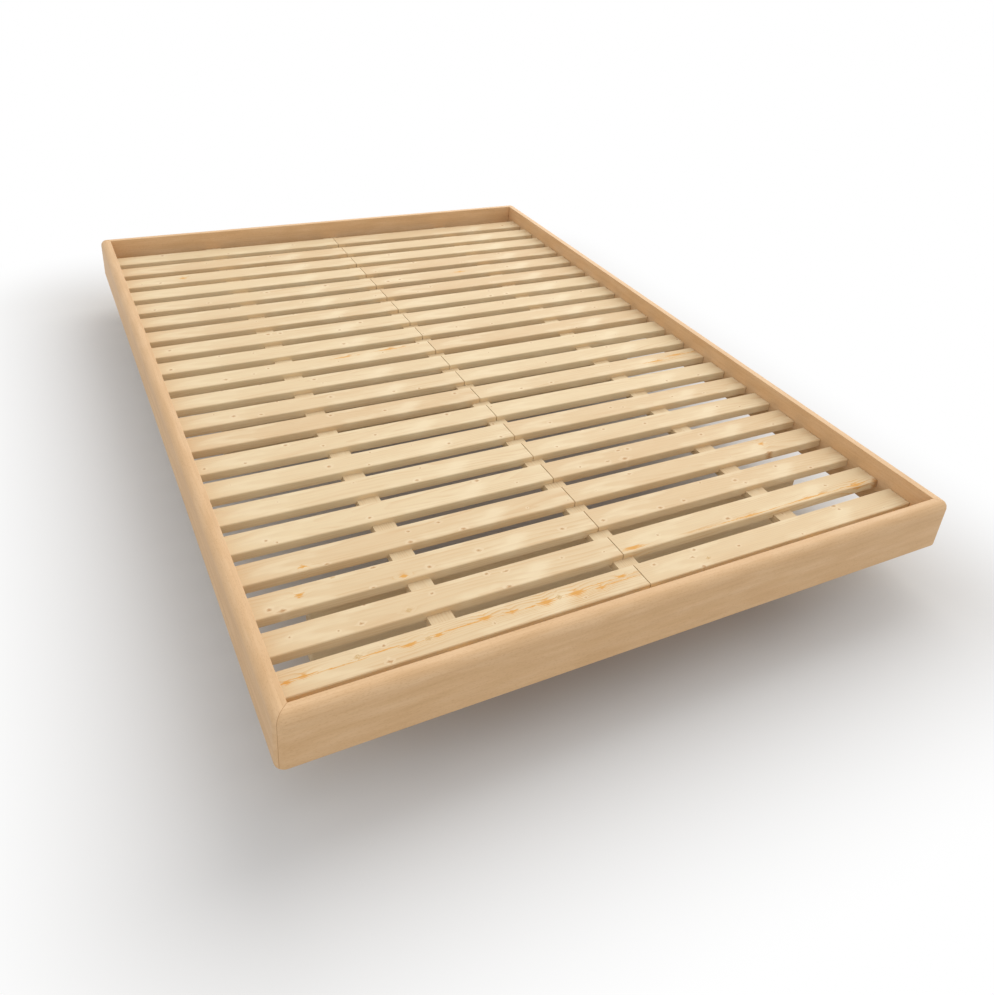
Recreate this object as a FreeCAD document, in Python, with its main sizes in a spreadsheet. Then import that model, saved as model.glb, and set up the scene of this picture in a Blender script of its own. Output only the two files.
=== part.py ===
import FreeCAD, Part
import Sketcher
import os

# Toddler floor bed: a low mitred rim of four thick rails round a slatted deck.
# Lengths are in millimetres. The origin is on the floor under the middle of the bed,
# X runs across it, Y runs from the foot rail to the head rail, and Z is up.

doc = FreeCAD.newDocument("floor_bed")

# Driving dimensions, one row of the sheet each: name, value, what it measures.
DIMENSIONS = (
    ("mattress_width", 1400, "mattress that the rim is made for, across"),
    ("mattress_length", 2000, "the same mattress, along"),
    ("mattress_side_play", 10, "room between mattress and side rail"),
    ("mattress_end_play", 5, "room between mattress and foot or head rail"),
    ("mattress_recess", 45, "how far the slats lie below the rim's top"),
    ("rim_height", 230, "floor to the rim's top"),
    ("rail_height", 115, "depth of a rail board"),
    ("rail_thickness", 28, "thickness of a rail board"),
    ("rail_top_round", 17, "round along the outer top edge"),
    ("rail_corner_round", 18, "round of the rim's outer corners, seen from above"),
    ("rail_bottom_round", 5, "round along the outer bottom edge"),
    ("rail_inner_round", 1.5, "broken inner top edge"),
    ("mitre_spare", 20, "how far the mitring wedge reaches past a rail board"),
    ("slat_rows", 21, "rows of slats from foot to head"),
    ("slat_width", 61, "width of a slat"),
    ("slat_gap", 32.2, "open gap between two rows"),
    ("slat_thickness", 20, "thickness of a slat"),
    ("slat_bevel", 1.5, "eased long edges of a slat"),
    ("slat_end_gap", 1, "gap between a slat and its side rail"),
    ("slat_middle_gap", 2, "gap between the left and the right slat of a row"),
    ("deck_foot_margin", 47.8, "foot rail to the first slat"),
    ("bearer_width", 46.5, "width of a lengthwise bearer"),
    ("bearer_height", 20, "thickness of a lengthwise bearer, which lies flat"),
    ("bearer_left", 398, "middle of the bed to the left bearer's middle"),
    ("bearer_right", 418, "middle of the bed to the right bearer's middle"),
    ("bearer_end_gap", 1, "gap between a bearer's end and the rail"),
    ("bearer_bevel", 2, "eased lower edges of a bearer"),
    ("slat_housing", 8, "depth of the housing in a bearer that a slat lies in"),
    ("slat_play", 0.6, "a housing's width over the slat's"),
    ("base_length", 1190, "length of a base board, across the bed"),
    ("base_thickness", 28, "thickness of a base board, which stands on edge"),
    ("base_spacing", 716, "centre of one base board to the next"),
    ("housing_depth", 8, "notch in a base board that a bearer sits in"),
    ("housing_play", 0.6, "a notch's width over the bearer's"),
    ("base_bevel", 3, "eased edges of a base board"),
    ("block_side", 60, "side of a corner block, seen from above"),
    ("block_height", 44, "height of a corner block"),
    ("block_top_gap", 4, "gap between a corner block and the slats' underside"),
    ("block_chamfer", 24, "corner block's clipped inner corner"),
    ("bolt_diameter", 6, "shank of a corner bolt"),
    ("bolt_hole", 6.6, "hole through a corner block"),
    ("bolt_bore", 6.2, "blind bore in a rail"),
    ("bolt_grip", 18, "length of a bolt inside the rail"),
    ("bolt_head", 10, "hexagon head of a bolt, across flats"),
    ("bolt_head_height", 4, "thickness of a bolt's head"),
    ("bolt_inset", 20, "bolt's distance from the corner of the rim's inside"),
    ("bolt_rise", 9, "height of a corner's two bolts under and over the block's middle"),
    ("tongue_width", 24, "loose tongue in a mitre, across the joint"),
    ("tongue_thickness", 6, "the same tongue, along the joint"),
    ("tongue_height", 70, "the same tongue, upright"),
    ("steel_gauge", 2, "sheet steel of the hangers and brackets"),
    ("steel_bend", 3, "outer radius of a bend"),
    ("hanger_play", 0.5, "gap between a bearer and each wall of its hanger"),
    ("hanger_depth", 32, "length of a hanger's cradle under the bearer"),
    ("hanger_wall", 16, "height of a hanger's walls over its floor"),
    ("hanger_ear", 24, "width of a hanger's ear on the rail"),
    ("bracket_leg", 40, "leg of an angle bracket"),
    ("bracket_width", 38, "width of an angle bracket"),
    ("bracket_hole", 24, "screw hole's distance from the bend"),
    ("screw_hole", 5, "screw hole in a hanger's ear or a bracket's leg"),
)

sheet = doc.addObject("Spreadsheet::Sheet", "dims")
for row, (alias, value, meaning) in enumerate(DIMENSIONS, start=1):
    sheet.set("A%d" % row, alias)
    sheet.set("B%d" % row, str(value))
    sheet.setAlias("B%d" % row, alias)
    sheet.set("C%d" % row, meaning)
doc.recompute()

# Lengths that follow from the driving ones, as expressions of the sheet's names.
INNER_WIDTH = "(dims.mattress_width + 2 * dims.mattress_side_play)"
INNER_LENGTH = "(dims.mattress_length + 2 * dims.mattress_end_play)"
OUTER_WIDTH = "(%s + 2 * dims.rail_thickness)" % INNER_WIDTH
OUTER_LENGTH = "(%s + 2 * dims.rail_thickness)" % INNER_LENGTH
RAIL_BOTTOM = "(dims.rim_height - dims.rail_height)"
SLAT_BOTTOM = "(dims.rim_height - dims.mattress_recess - dims.slat_thickness)"
SLAT_LENGTH = "(%s / 2 - dims.slat_end_gap - dims.slat_middle_gap / 2)" % INNER_WIDTH
SLAT_PITCH = "(dims.slat_width + dims.slat_gap)"
FIRST_SLAT = "(dims.deck_foot_margin + dims.slat_width / 2 - %s / 2)" % INNER_LENGTH
BEARER_BOTTOM = "(%s + dims.slat_housing - dims.bearer_height)" % SLAT_BOTTOM
BEARER_LENGTH = "(%s - 2 * dims.bearer_end_gap)" % INNER_LENGTH
BASE_HEIGHT = "(%s + dims.housing_depth)" % BEARER_BOTTOM
BLOCK_BOTTOM = "(%s - dims.block_top_gap - dims.block_height)" % SLAT_BOTTOM

# An edge runs along an axis if their directions' product is over PARALLEL, and two lengths
# are the same if they differ by less than CLOSE.
PARALLEL = 0.999
CLOSE = 0.01

SIDES = (("left", -1), ("right", 1))
ENDS = (("foot", -1), ("head", 1))


def number(expression):
    """Value of an expression of the sheet's names, as a plain number."""
    return float(sheet.evalExpression(expression))


# ---------------------------------------------------------------- building steps

def bind(thing, **properties):
    """Bind properties to expressions; a double underscore stands for a dot."""
    for name, expression in properties.items():
        thing.setExpression(name.replace("__", "."), expression)


def place(thing, x="0", y="0", z="0", axis=(0, 0, 1), angle=0):
    """Turn a thing about an axis and bind its position to expressions."""
    turn = FreeCAD.Rotation(FreeCAD.Vector(*axis), angle)
    thing.Placement = FreeCAD.Placement(FreeCAD.Vector(), turn)
    bind(thing, Placement__Base__x=x, Placement__Base__y=y, Placement__Base__z=z)
    return thing


def new_body(label):
    body = doc.addObject("PartDesign::Body", label)
    body.Label = label
    return body


def new_sketch(body, plane, x="0", y="0", level="0"):
    """Sketch on one of the body's own planes, shifted in that plane or off it."""
    sketch = body.newObject("Sketcher::SketchObject", "outline")
    origin_plane = [f for f in body.Origin.OriginFeatures if f.Role == plane][0]
    sketch.AttachmentSupport = [(origin_plane, "")]
    sketch.MapMode = "FlatFace"
    bind(
        sketch,
        AttachmentOffset__Base__x=x,
        AttachmentOffset__Base__y=y,
        AttachmentOffset__Base__z=level,
    )
    return sketch


def fix_point(sketch, curve, point, x, y):
    """Hold a curve's point at a place from the sketch's origin."""
    for kind, coordinate in (("DistanceX", x), ("DistanceY", y)):
        rule = Sketcher.Constraint(kind, -1, 1, curve, point, number(coordinate))
        fixed = sketch.addConstraint(rule)
        sketch.setExpression("Constraints[%d]" % fixed, coordinate)


def outline(sketch, points):
    """Closed run of straight lines through points whose coordinates are expressions."""
    corners = [FreeCAD.Vector(number(x), number(y), 0) for x, y in points]
    lines = [
        sketch.addGeometry(Part.LineSegment(start, end), False)
        for start, end in zip(corners, corners[1:] + corners[:1])
    ]
    for line, following, (x, y) in zip(lines, lines[1:] + lines[:1], points):
        sketch.addConstraint(Sketcher.Constraint("Coincident", line, 2, following, 1))
        fix_point(sketch, line, 1, x, y)


def rectangle(sketch, width, height):
    """Rectangle about the sketch's origin."""
    right, top = width + " / 2", height + " / 2"
    left, bottom = "-" + right, "-" + top
    outline(sketch, [(left, bottom), (right, bottom), (right, top), (left, top)])


def circles(sketch, diameter, centres):
    """One circle of the same diameter at each centre."""
    for x, y in centres:
        middle = FreeCAD.Vector(number(x), number(y), 0)
        ring = Part.Circle(middle, FreeCAD.Vector(0, 0, 1), number(diameter) / 2)
        index = sketch.addGeometry(ring, False)
        fix_point(sketch, index, 3, x, y)
        size = sketch.addConstraint(Sketcher.Constraint("Diameter", index, number(diameter)))
        sketch.setExpression("Constraints[%d]" % size, diameter)


def pad(body, sketch, length, midplane=False):
    feature = body.newObject("PartDesign::Pad", "pad")
    feature.Profile = sketch
    feature.Midplane = midplane
    bind(feature, Length=length)
    doc.recompute()
    return feature


def pocket_through(body, sketch):
    """Cut right through the body, both ways from the sketch, and check that it did."""
    volume_before = body.Shape.Volume
    feature = body.newObject("PartDesign::Pocket", "pocket")
    feature.Profile = sketch
    feature.Type = "ThroughAll"
    feature.Midplane = True
    doc.recompute()
    if body.Shape.Volume >= volume_before:
        raise RuntimeError("%s: the pocket cuts nothing" % body.Label)
    return feature


def dress(body, kind, size, chosen):
    """Fillet or chamfer the edges of the body's tip for which chosen(edge) holds."""
    tip = body.Tip
    names = ["Edge%d" % i for i, edge in enumerate(tip.Shape.Edges, start=1) if chosen(edge)]
    feature = body.newObject("PartDesign::" + kind, kind.lower())
    feature.Base = (tip, names)
    bind(feature, **{"Radius" if kind == "Fillet" else "Size": size})
    doc.recompute()
    return feature


def along(edge, axis):
    """True for a straight edge that runs along the axis: 0 for X, 1 for Y, 2 for Z."""
    if not isinstance(edge.Curve, (Part.Line, Part.LineSegment)):
        return False
    return abs(edge.tangentAt(edge.FirstParameter)[axis]) > PARALLEL


def spot(edge):
    """Middle of an edge's box."""
    return edge.BoundBox.Center


def near(value, expression):
    return abs(value - number(expression)) < CLOSE


def group(label, pieces):
    """One node that holds identical pieces as separate solids."""
    compound = doc.addObject("Part::Compound", label)
    compound.Label = label
    compound.Links = pieces
    return compound


parts = []

# ---------------------------------------------------------------- mitred rim

# The rim as one ring, before the mitres part it into four rails. Its outer top edge has
# a wide round that runs on round the corners, its bottom edge a small one.
ring = new_body("rim_ring")
place(ring, z=RAIL_BOTTOM)
ring_outside = new_sketch(ring, "XY_Plane")
rectangle(ring_outside, OUTER_WIDTH, OUTER_LENGTH)
pad(ring, ring_outside, "dims.rail_height")
dress(ring, "Fillet", "dims.rail_corner_round", lambda edge: along(edge, 2))
dress(ring, "Fillet", "dims.rail_top_round", lambda edge: near(spot(edge).z, "dims.rail_height"))
dress(ring, "Fillet", "dims.rail_bottom_round", lambda edge: near(spot(edge).z, "0"))
ring_inside = new_sketch(ring, "XY_Plane")
rectangle(ring_inside, INNER_WIDTH, INNER_LENGTH)
pocket_through(ring, ring_inside)


def on_inner_top(edge):
    on_side = near(abs(spot(edge).x), INNER_WIDTH + " / 2") and along(edge, 1)
    on_end = near(abs(spot(edge).y), INNER_LENGTH + " / 2") and along(edge, 0)
    return near(spot(edge).z, "dims.rail_height") and (on_side or on_end)


dress(ring, "Fillet", "dims.rail_inner_round", on_inner_top)


# A loose tongue crosses each mitre square to the joint, so it stands at 45 degrees to both
# rails, in a slot that is half in one rail and half in the other.
tongues = []
for _, side in SIDES:
    for _, end in ENDS:
        tongue = new_body("mitre_tongue")
        plan = new_sketch(tongue, "XY_Plane")
        rectangle(plan, "dims.tongue_width", "dims.tongue_thickness")
        pad(tongue, plan, "dims.tongue_height")
        place(
            tongue,
            "%d * (%s + dims.rail_thickness) / 2" % (side, INNER_WIDTH),
            "%d * (%s + dims.rail_thickness) / 2" % (end, INNER_LENGTH),
            "%s + (dims.rail_height - dims.tongue_height) / 2" % RAIL_BOTTOM,
            angle=-45 * side * end,
        )
        tongues.append(tongue)

# Two bolts hold a corner block, a low one into the side rail and a high one into the end
# rail. A bolt is given by its corner, its rail and its height from the block's middle.
BLOCK_MIDDLE = "(%s + dims.block_height / 2)" % BLOCK_BOTTOM
BOLT_HEIGHTS = (("side", "-dims.bolt_rise"), ("end", "dims.bolt_rise"))
BOLTS = [
    (side, end, rail_name, rise)
    for _, side in SIDES
    for _, end in ENDS
    for rail_name, rise in BOLT_HEIGHTS
]


def bolt_place(side, end, rail_name, depth):
    """A bolt's x and y at a depth into the rail, and the turn that takes +Z into it."""
    if rail_name == "side":
        x = "%d * (%s / 2 + %s)" % (side, INNER_WIDTH, depth)
        y = "%d * (%s / 2 - dims.bolt_inset)" % (end, INNER_LENGTH)
        return x, y, (0, 1, 0), 90 * side
    x = "%d * (%s / 2 - dims.bolt_inset)" % (side, INNER_WIDTH)
    y = "%d * (%s / 2 + %s)" % (end, INNER_LENGTH, depth)
    return x, y, (1, 0, 0), -90 * end


bores = []
for side, end, rail_name, rise in BOLTS:
    drill = doc.addObject("Part::Cylinder", "bolt_bore")
    bind(drill, Radius="dims.bolt_bore / 2", Height="dims.bolt_grip")
    x, y, axis, angle = bolt_place(side, end, rail_name, "0")
    place(drill, x, y, "%s + %s" % (BLOCK_MIDDLE, rise), axis, angle)
    bores.append(drill)
joint_cuts = group("joint_cuts", bores + tongues)


def rail(label, inside_length, inside_width, angle):
    """Piece of the ring between two mitres, which run through its inner corners.

    The wedge that picks it out is larger than the board on every side but the mitres.
    """
    wedge = new_body(label + "_mitres")
    plan = new_sketch(wedge, "XY_Plane")
    near_side = "(%s / 2 - dims.mitre_spare)" % inside_width
    far_side = "(%s / 2 + dims.rail_thickness + dims.mitre_spare)" % inside_width
    near_half = "(%s / 2 - dims.mitre_spare)" % inside_length
    far_half = "(%s / 2 + dims.rail_thickness + dims.mitre_spare)" % inside_length
    outline(plan, [
        ("-" + near_half, near_side),
        (near_half, near_side),
        (far_half, far_side),
        ("-" + far_half, far_side),
    ])
    pad(wedge, plan, "dims.rail_height + 2 * dims.mitre_spare")
    place(wedge, z="%s - dims.mitre_spare" % RAIL_BOTTOM, angle=angle)
    board = doc.addObject("Part::Common", label + "_board")
    board.Base = ring
    board.Tool = wedge
    jointed = doc.addObject("Part::Cut", label)
    jointed.Label = label
    jointed.Base = board
    jointed.Tool = joint_cuts
    parts.append(jointed)


rail("foot_rail", INNER_WIDTH, INNER_LENGTH, 180)
rail("head_rail", INNER_WIDTH, INNER_LENGTH, 0)
rail("left_rail", INNER_LENGTH, INNER_WIDTH, 90)
rail("right_rail", INNER_LENGTH, INNER_WIDTH, -90)

parts.append(group("mitre_tongues", tongues))

# ---------------------------------------------------------------- corner blocks and bolts

for side_name, side in SIDES:
    for end_name, end in ENDS:
        block = new_body("corner_block_%s_%s" % (end_name, side_name))
        plan = new_sketch(block, "XY_Plane", x="-%d * dims.block_side / 2" % side,
                          y="-%d * dims.block_side / 2" % end)
        rectangle(plan, "dims.block_side", "dims.block_side")
        pad(block, plan, "dims.block_height")
        dress(block, "Chamfer", "dims.block_chamfer",
              lambda edge: along(edge, 2) and near(abs(spot(edge).x), "dims.block_side")
              and near(abs(spot(edge).y), "dims.block_side"))
        for (rail_name, rise), plane, sign in zip(BOLT_HEIGHTS, ("YZ_Plane", "XZ_Plane"),
                                                  (end, side)):
            hole = new_sketch(block, plane, x="-%d * dims.bolt_inset" % sign,
                              y="dims.block_height / 2 + " + rise)
            circles(hole, "dims.bolt_hole", [("0", "0")])
            pocket_through(block, hole)
        place(block, "%d * %s / 2" % (side, INNER_WIDTH), "%d * %s / 2" % (end, INNER_LENGTH),
              BLOCK_BOTTOM)
        parts.append(block)

# A bolt has a hexagon head, which bears on the block, and a plain shank.
bolts = []
for side, end, rail_name, rise in BOLTS:
    bolt = new_body("corner_bolt")
    shank = new_sketch(bolt, "XY_Plane")
    circles(shank, "dims.bolt_diameter", [("0", "0")])
    pad(bolt, shank, "dims.block_side + dims.bolt_grip")
    hexagon = new_sketch(bolt, "XY_Plane", level="-dims.bolt_head_height")
    flat = "dims.bolt_head / 2"
    half_side = "dims.bolt_head / 2 * tan(30)"
    outline(hexagon, [
        (flat, "-" + half_side), (flat, half_side), ("0", "2 * " + half_side),
        ("-" + flat, half_side), ("-" + flat, "-" + half_side), ("0", "-2 * " + half_side),
    ])
    pad(bolt, hexagon, "dims.bolt_head_height")
    x, y, axis, angle = bolt_place(side, end, rail_name, "-dims.block_side")
    place(bolt, x, y, "%s + %s" % (BLOCK_MIDDLE, rise), axis, angle)
    bolts.append(bolt)
parts.append(group("corner_bolts", bolts))

# ---------------------------------------------------------------- slats


def slat(label, start, row):
    """One slat from its left end; rows are counted from the foot."""
    body = new_body(label)
    section = new_sketch(body, "YZ_Plane")
    rectangle(section, "dims.slat_width", "dims.slat_thickness")
    pad(body, section, SLAT_LENGTH)
    dress(body, "Chamfer", "dims.slat_bevel", lambda edge: along(edge, 0))
    place(body, start, "%s + %d * %s" % (FIRST_SLAT, row - 1, SLAT_PITCH),
          "%s + dims.slat_thickness / 2" % SLAT_BOTTOM)
    parts.append(body)


for row in range(1, int(sheet.slat_rows) + 1):
    slat("slat_left_%02d" % row, "-dims.slat_middle_gap / 2 - %s" % SLAT_LENGTH, row)
    slat("slat_right_%02d" % row, "dims.slat_middle_gap / 2", row)

# ---------------------------------------------------------------- bearers and base boards

# Each row of slats lies in housings across the bearers' tops. One block to a row cuts them.
HOUSING_WIDTH = "(dims.slat_width + dims.slat_play)"
housings = []
for row in range(int(sheet.slat_rows)):
    block = doc.addObject("Part::Box", "housing")
    bind(block, Length=INNER_WIDTH, Width=HOUSING_WIDTH, Height="2 * dims.slat_housing")
    place(block, "-%s / 2" % INNER_WIDTH,
          "%s + %d * %s - %s / 2" % (FIRST_SLAT, row, SLAT_PITCH, HOUSING_WIDTH), SLAT_BOTTOM)
    housings.append(block)
slat_housings = group("slat_housings", housings)

# A bearer is a flat board that runs from rail to rail.
LINES = (("left", "-dims.bearer_left"), ("centre", "0"), ("right", "dims.bearer_right"))
for name, bearer_middle in LINES:
    board = new_body(name + "_board")
    section = new_sketch(board, "XZ_Plane", y="dims.bearer_height / 2")
    rectangle(section, "dims.bearer_width", "dims.bearer_height")
    pad(board, section, BEARER_LENGTH, midplane=True)
    dress(board, "Chamfer", "dims.bearer_bevel",
          lambda edge: along(edge, 1) and near(spot(edge).z, "0"))
    place(board, bearer_middle, "0", BEARER_BOTTOM)
    bearer = doc.addObject("Part::Cut", name + "_bearer")
    bearer.Label = name + "_bearer"
    bearer.Base = board
    bearer.Tool = slat_housings
    parts.append(bearer)

# Each base board stands on edge under the bearers, which sit in notches in its top.
for name, line in (("foot", -1), ("centre", 0), ("head", 1)):
    base = new_body(name + "_base_board")
    face = new_sketch(base, "XZ_Plane", y=BASE_HEIGHT + " / 2")
    rectangle(face, "dims.base_length", BASE_HEIGHT)
    pad(base, face, "dims.base_thickness", midplane=True)
    dress(base, "Chamfer", "dims.base_bevel",
          lambda edge: along(edge, 2) or near(spot(edge).z, BASE_HEIGHT) and along(edge, 0))
    for _, bearer_middle in LINES:
        notch = new_sketch(base, "XZ_Plane", x=bearer_middle, y=BASE_HEIGHT)
        rectangle(notch, "(dims.bearer_width + dims.housing_play)", "(2 * dims.housing_depth)")
        pocket_through(base, notch)
    place(base, "0", "%d * dims.base_spacing" % line, "0")
    parts.append(base)

# ---------------------------------------------------------------- steel hangers and brackets


def bend(body, size, axis, height, **place_across):
    """Round the sheet's edges along an axis at a height, and at a place across if given."""
    def at_bend(edge):
        middle = spot(edge)
        beside = all(near(getattr(middle, name), at) for name, at in place_across.items())
        return along(edge, axis) and near(middle.z, height) and beside

    dress(body, "Fillet", size, at_bend)


# A hanger is pressed from one sheet: a cradle that the bearer's end drops into, and an ear
# on each side of it that is screwed to the rail.
INSIDE = "(dims.bearer_width / 2 + dims.hanger_play)"
OUTSIDE = "(%s + dims.steel_gauge)" % INSIDE
EAR_TIP = "(%s + dims.hanger_ear)" % OUTSIDE
EAR_BOTTOM = "dims.steel_bend"
INNER_BEND = "dims.steel_bend - dims.steel_gauge"
hangers = []
for _, end in ENDS:
    for _, bearer_middle in LINES:
        hanger = new_body("hanger")
        cradle = new_sketch(hanger, "XZ_Plane")
        outline(cradle, [
            ("-" + OUTSIDE, "-dims.steel_gauge"), (OUTSIDE, "-dims.steel_gauge"),
            (OUTSIDE, "dims.hanger_wall"), (INSIDE, "dims.hanger_wall"),
            (INSIDE, "0"), ("-" + INSIDE, "0"),
            ("-" + INSIDE, "dims.hanger_wall"), ("-" + OUTSIDE, "dims.hanger_wall"),
        ])
        pad(hanger, cradle, "dims.hanger_depth")
        ears = new_sketch(hanger, "XZ_Plane")
        for sign in ("-", ""):
            outline(ears, [
                (sign + OUTSIDE, EAR_BOTTOM), (sign + EAR_TIP, EAR_BOTTOM),
                (sign + EAR_TIP, "dims.hanger_wall"), (sign + OUTSIDE, "dims.hanger_wall"),
            ])
        pad(hanger, ears, "dims.steel_gauge")
        bend(hanger, "dims.steel_bend", 1, "-dims.steel_gauge")
        bend(hanger, INNER_BEND, 1, "0")
        ear_holes = new_sketch(hanger, "XZ_Plane",
                               y="(%s + dims.hanger_wall) / 2" % EAR_BOTTOM)
        ear_middle = "(%s + %s) / 2" % (OUTSIDE, EAR_TIP)
        circles(ear_holes, "dims.screw_hole", [("-" + ear_middle, "0"), (ear_middle, "0")])
        pocket_through(hanger, ear_holes)
        place(hanger, bearer_middle, "%d * %s / 2" % (end, INNER_LENGTH),
              BEARER_BOTTOM, angle=90 - 90 * end)
        hangers.append(hanger)
parts.append(group("bearer_hangers", hangers))

# Angle brackets tie the outer bearers to the foot and head base boards' inner faces.
brackets = []
for board_middle, facing in (("-dims.base_spacing", 1), ("dims.base_spacing", -1)):
    for _, bearer_middle in (LINES[0], LINES[-1]):
        bracket = new_body("bracket")
        section = new_sketch(bracket, "YZ_Plane")
        outline(section, [
            ("0", "0"), ("dims.bracket_leg", "0"),
            ("dims.bracket_leg", "-dims.steel_gauge"), ("dims.steel_gauge", "-dims.steel_gauge"),
            ("dims.steel_gauge", "-dims.bracket_leg"), ("0", "-dims.bracket_leg"),
        ])
        pad(bracket, section, "dims.bracket_width", midplane=True)
        bend(bracket, "dims.steel_bend", 0, "0", y="0")
        bend(bracket, INNER_BEND, 0, "-dims.steel_gauge", y="dims.steel_gauge")
        for plane, shift in (("XY_Plane", "dims.bracket_hole"), ("XZ_Plane", "-dims.bracket_hole")):
            hole = new_sketch(bracket, plane, y=shift)
            circles(hole, "dims.screw_hole", [("0", "0")])
            pocket_through(bracket, hole)
        place(bracket, bearer_middle, "%s + %d * dims.base_thickness / 2" % (board_middle, facing),
              BEARER_BOTTOM, angle=90 - 90 * facing)
        brackets.append(bracket)
parts.append(group("base_brackets", brackets))

# ---------------------------------------------------------------- check and write

doc.recompute()
for thing in doc.Objects:
    if "Invalid" in thing.State or "Error" in thing.State:
        raise RuntimeError("%s failed: %s" % (thing.Label, thing.State))
os.makedirs("parts", exist_ok=True)
for part in parts:
    if part.Shape.isNull() or not part.Shape.isValid():
        raise RuntimeError("%s has no valid shape" % part.Label)
    part.Shape.exportStep("parts/%s.step" % part.Label)
print("%d sub-parts written" % len(parts))
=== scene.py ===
# %% [markdown]
# # A toddler floor bed in bare wood
#
# The bed is a low rim of four thick beech rails, mitred at the corners, round a deck of pine
# slats. The construction is already made and comes in as a fixed frame. What is left to do
# here is the looks: how each wood was cut and planed, the steel fittings, the screws, the
# studio floor and the light. Nothing in the frame is moved or reshaped.

# %% Load the frame
import math

import bpy
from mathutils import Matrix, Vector


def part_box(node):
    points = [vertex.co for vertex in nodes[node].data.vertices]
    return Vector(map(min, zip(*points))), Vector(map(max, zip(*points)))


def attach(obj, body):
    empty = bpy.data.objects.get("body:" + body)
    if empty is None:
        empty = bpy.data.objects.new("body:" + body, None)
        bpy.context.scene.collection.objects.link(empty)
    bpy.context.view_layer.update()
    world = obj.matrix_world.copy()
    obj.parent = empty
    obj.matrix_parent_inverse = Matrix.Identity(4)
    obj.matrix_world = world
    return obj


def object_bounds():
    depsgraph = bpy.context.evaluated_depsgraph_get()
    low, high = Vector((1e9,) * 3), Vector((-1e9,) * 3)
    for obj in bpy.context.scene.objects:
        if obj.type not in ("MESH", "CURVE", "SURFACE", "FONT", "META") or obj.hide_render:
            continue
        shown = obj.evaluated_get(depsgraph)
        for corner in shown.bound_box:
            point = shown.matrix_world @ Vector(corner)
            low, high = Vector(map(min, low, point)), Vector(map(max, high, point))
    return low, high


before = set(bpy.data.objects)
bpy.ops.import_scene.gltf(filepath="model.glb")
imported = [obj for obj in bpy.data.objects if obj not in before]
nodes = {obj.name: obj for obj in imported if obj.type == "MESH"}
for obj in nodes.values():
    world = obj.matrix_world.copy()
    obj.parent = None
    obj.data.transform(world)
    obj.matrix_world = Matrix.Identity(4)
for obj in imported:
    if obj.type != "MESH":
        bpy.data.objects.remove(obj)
cad_box = [list(corner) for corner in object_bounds()]
print("pieces in the frame:", len(nodes))
print("size in mm:", [round(1000 * (high - low)) for low, high in zip(*cad_box)])

# %% [markdown]
# ## Two small helpers
#
# Colours are written as they look on a screen, in sRGB hex, and the renderer works in linear
# light, so one function turns the one into the other. The second function adds a shader node
# with its settings and links in one call, which keeps each material below readable as a
# recipe. An input is named by its place or its name, and takes a plain value, another node's
# first output that is in use, or any output socket. A colour ramp gets its stops as pairs of
# a place and a colour.


# %% Colour and node helpers
def linear(colour):
    """An sRGB hex colour, or a grey level, as linear red, green, blue and alpha."""
    if not isinstance(colour, str):
        return (colour,) * 3 + (1.0,)
    channels = [int(colour[start:start + 2], 16) / 255 for start in (1, 3, 5)]
    return tuple(
        c / 12.92 if c <= 0.04045 else ((c + 0.055) / 1.055) ** 2.4 for c in channels
    ) + (1.0,)


def add(tree, kind, inputs=None, stops=(), **settings):
    """Add a node, set its properties and ramp stops, and fill or link its inputs."""
    node = tree.nodes.new(kind)
    for name, value in settings.items():
        setattr(node, name, value)
    for index, (place, colour) in enumerate(stops):
        elements = node.color_ramp.elements
        element = elements[index] if index < 2 else elements.new(place)
        element.position, element.color = place, linear(colour)
    for key, value in (inputs or {}).items():
        if isinstance(key, int):
            target = node.inputs[key]
        else:
            target = next(s for s in node.inputs if s.enabled and s.name == key)
        if isinstance(value, bpy.types.Node):
            value = next(s for s in value.outputs if s.enabled)
        if isinstance(value, bpy.types.NodeSocket):
            tree.links.new(value, target)
        else:
            is_colour = isinstance(value, str) and value.startswith("#")
            target.default_value = linear(value) if is_colour else value
    return node


MM = 0.001
print("mid grey #808080 is", round(linear("#808080")[0], 3), "in linear light")

# %% [markdown]
# ## A number and a place of its own for every board
#
# Every board shows another part of its log, and a pattern that is the same on all of them
# looks printed. The boards lie in regular rows, so a board can be told from a point's place
# alone: divide the place by the rows' spacing. The whole part of the result counts the
# boards, and white noise turns it into random numbers that stay the same all over one
# board. The fraction is the point's place on its own board. No seed has to be typed in for
# any of the forty-two slats.

# %% Telling boards apart
NO_NEIGHBOUR = 10.0


def board_grid(first, beside=None, behind=None):
    """The middle of one board, and the steps in metres to the next ones along X and Y."""
    low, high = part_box(first)
    step_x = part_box(beside)[0].x - low.x if beside else NO_NEIGHBOUR
    step_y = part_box(behind)[0].y - low.y if behind else NO_NEIGHBOUR
    return (low + high) / 2, Vector((step_x, step_y, NO_NEIGHBOUR))


def on_board(tree, grid, grain_axis):
    """A board's random numbers, and the place on it in mm with X along its grain."""
    middle, step = grid
    scale = Vector([1 / size for size in step])
    half = Vector([0.5 - centre / size for centre, size in zip(middle, step)])
    place = add(tree, "ShaderNodeTexCoord").outputs["Object"]
    counted = add(tree, "ShaderNodeVectorMath", {0: place, 1: scale, 2: half},
                  operation="MULTIPLY_ADD")
    whole = add(tree, "ShaderNodeVectorMath", {0: counted}, operation="FLOOR")
    numbers = add(tree, "ShaderNodeTexWhiteNoise", {"Vector": whole}, noise_dimensions="3D")
    part = add(tree, "ShaderNodeVectorMath", {0: counted}, operation="FRACTION")
    turn = (0, 0, 0) if grain_axis == "X" else (0, 0, -math.pi / 2)
    centred = add(tree, "ShaderNodeVectorMath",
                  {0: part, 1: step / MM, 2: -step / 2 / MM}, operation="MULTIPLY_ADD")
    return numbers, add(tree, "ShaderNodeMapping", {"Vector": centred, "Rotation": turn})


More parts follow.
